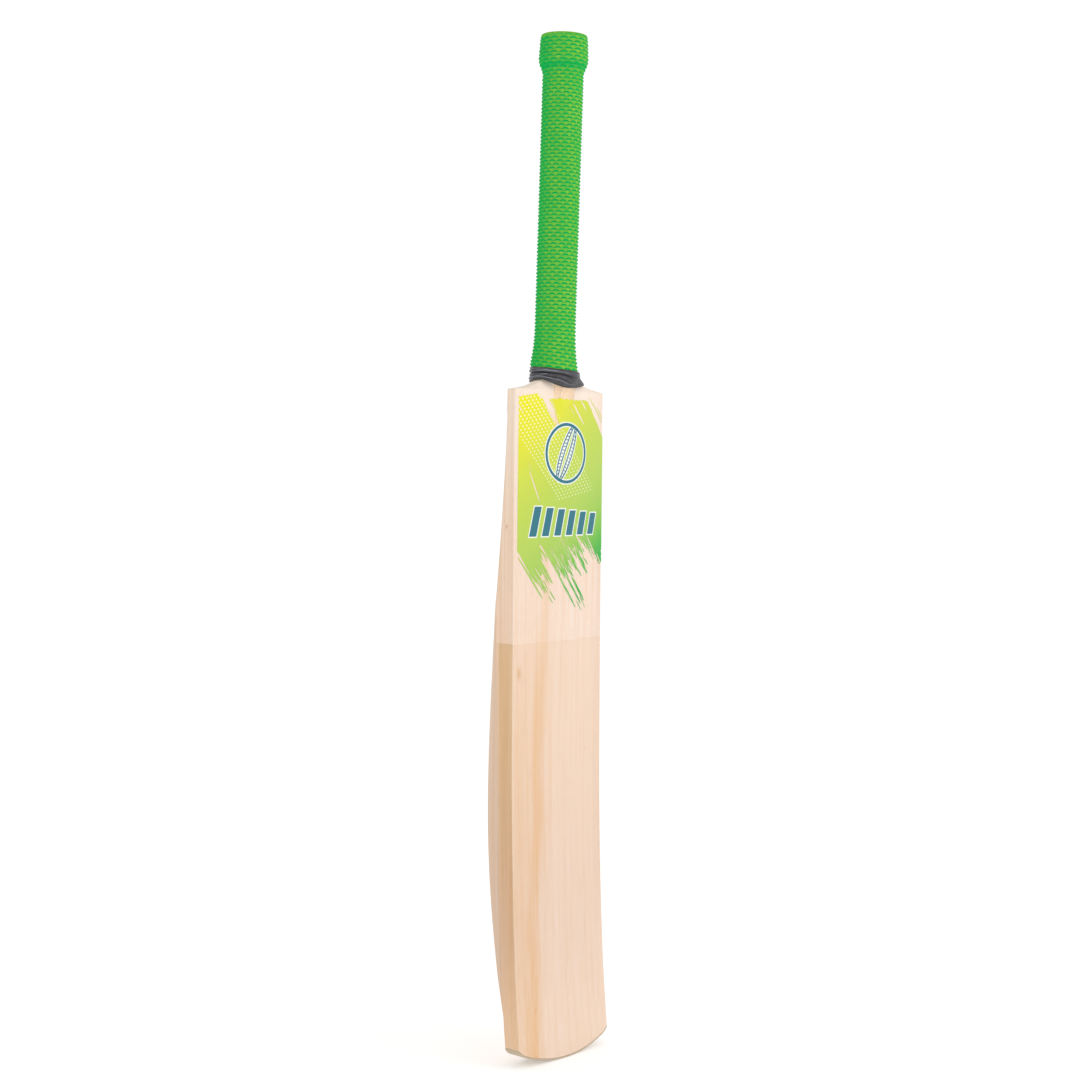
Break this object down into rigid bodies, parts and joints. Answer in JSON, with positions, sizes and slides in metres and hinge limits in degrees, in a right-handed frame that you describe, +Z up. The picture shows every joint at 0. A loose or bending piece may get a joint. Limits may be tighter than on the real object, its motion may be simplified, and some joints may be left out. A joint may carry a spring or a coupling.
{
  "type": "cricket bat",
  "caption": "Short-handle cricket bat: bowed willow blade with a ridged back, spliced cane handle in a scaled rubber grip, clear face film and toe guard.",
  "frame": {"origin": "on the ground plane under the lowest point of the toe guard, at the middle of the bat's overall width and depth", "axes": "+Z up the bat from toe to handle, the hitting face looks towards -Y, +X across the blade"},
  "size_m": [0.1088, 0.0858, 0.8426],
  "materials": {
    "willow": "pale straight-grained willow, lightly oiled, satin",
    "cane": "split cane, fibres along the handle, matt",
    "spring_rubber": "thin black rubber sheet, matt",
    "twine": "waxed twine wound in one close layer",
    "grip_rubber": "moulded rubber, lime scales with green crescents, satin",
    "tape": "black vinyl tape in several wrinkled turns, semi-gloss",
    "decal": "printed film, yellow to green brush strokes, satin",
    "film": "clear anti-scuff film, glossy",
    "toe_guard": "thin pale rubber strip, matt"
  },
  "bodies": {
    "root": {"blade": "willow", "cane_front_left": "cane", "cane_front_middle": "cane", "cane_front_right": "cane", "cane_second_left": "cane", "cane_second_middle": "cane", "cane_second_right": "cane", "cane_third_left": "cane", "cane_third_middle": "cane", "cane_third_right": "cane", "cane_back_left": "cane", "cane_back_middle": "cane", "cane_back_right": "cane", "rubber_spring_front": "spring_rubber", "rubber_spring_middle": "spring_rubber", "rubber_spring_back": "spring_rubber", "twine_binding": "twine", "rubber_grip": "grip_rubber", "collar_tape": "tape", "face_decal": "decal", "face_film": "film", "toe_guard": "toe_guard"}
  },
  "joints": []
}
